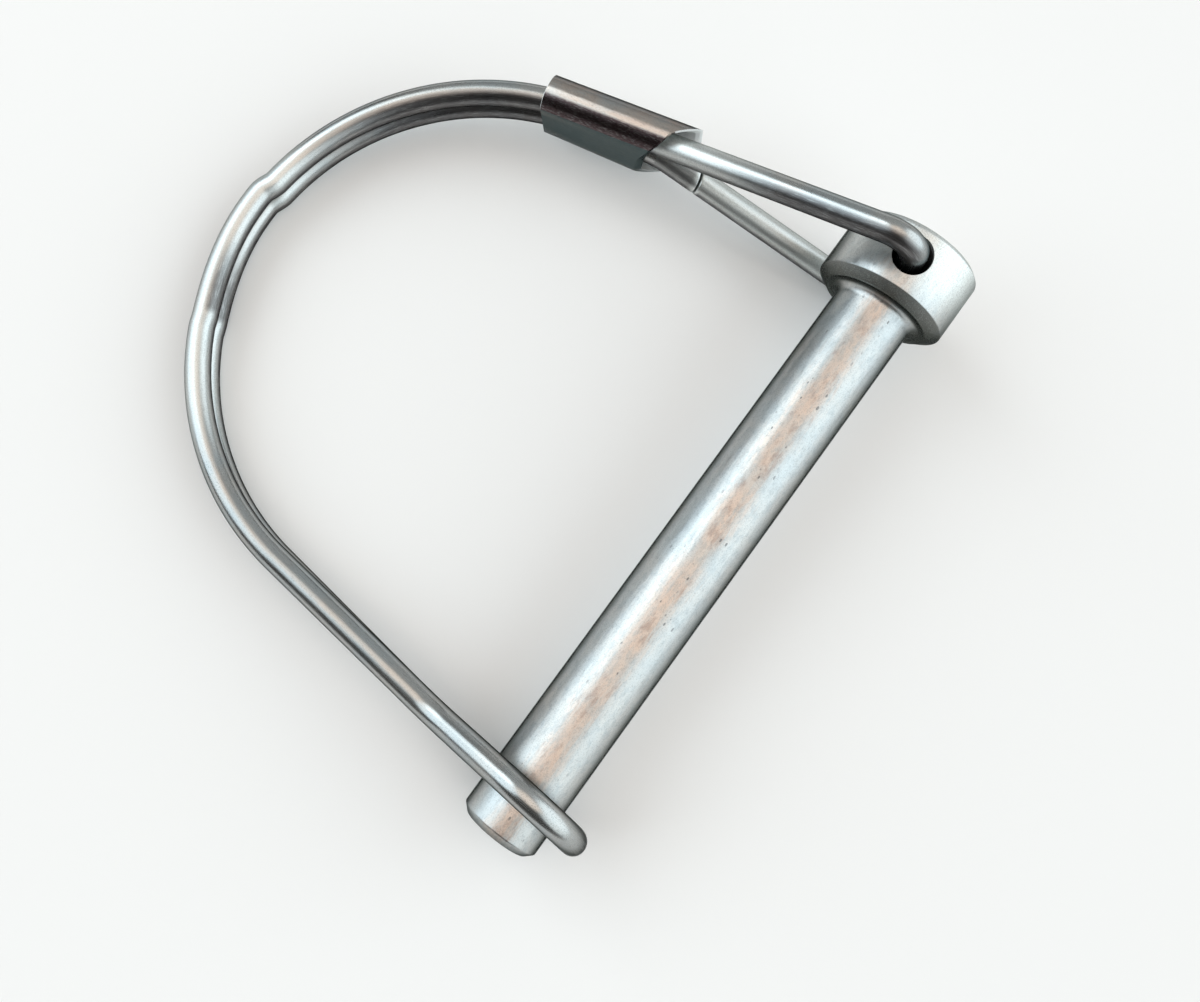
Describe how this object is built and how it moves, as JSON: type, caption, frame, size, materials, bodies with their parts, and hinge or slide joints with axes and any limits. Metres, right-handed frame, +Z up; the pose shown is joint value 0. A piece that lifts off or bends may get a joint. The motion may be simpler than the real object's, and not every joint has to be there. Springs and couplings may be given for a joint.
{
  "type": "quick release pin",
  "caption": "Round locking pin with a cross-drilled head and a swinging D-shaped double wire bail whose loop snaps over the tip of the shank.",
  "frame": {"origin": "on the pin's axis, at the end of the shank's straight wall beside the fillet under the head", "axes": "+X towards the head and +Z up, with the locked pin lying on its side, so the pin's axis and the bow's plane lean a little from +X and the XY plane; +Y towards the bow"},
  "size_m": [0.0694, 0.066, 0.0208],
  "materials": {
    "pin_steel": "bright zinc plate, satin",
    "wire_steel": "bright zinc plate, glossy",
    "sleeve_steel": "bright zinc plate"
  },
  "bodies": {
    "pin": {"pin": "pin_steel"},
    "bail": {"wire_bail": "wire_steel", "ferrule": "sleeve_steel"}
  },
  "joints": [
    {"name": "bail_swing", "type": "hinge", "parent": "pin", "child": "bail", "pos_m": [0.00489, 0, 0.00026], "axis": [0.0522, -0.104, -0.9932], "range_deg": [0, 255]}
  ]
}
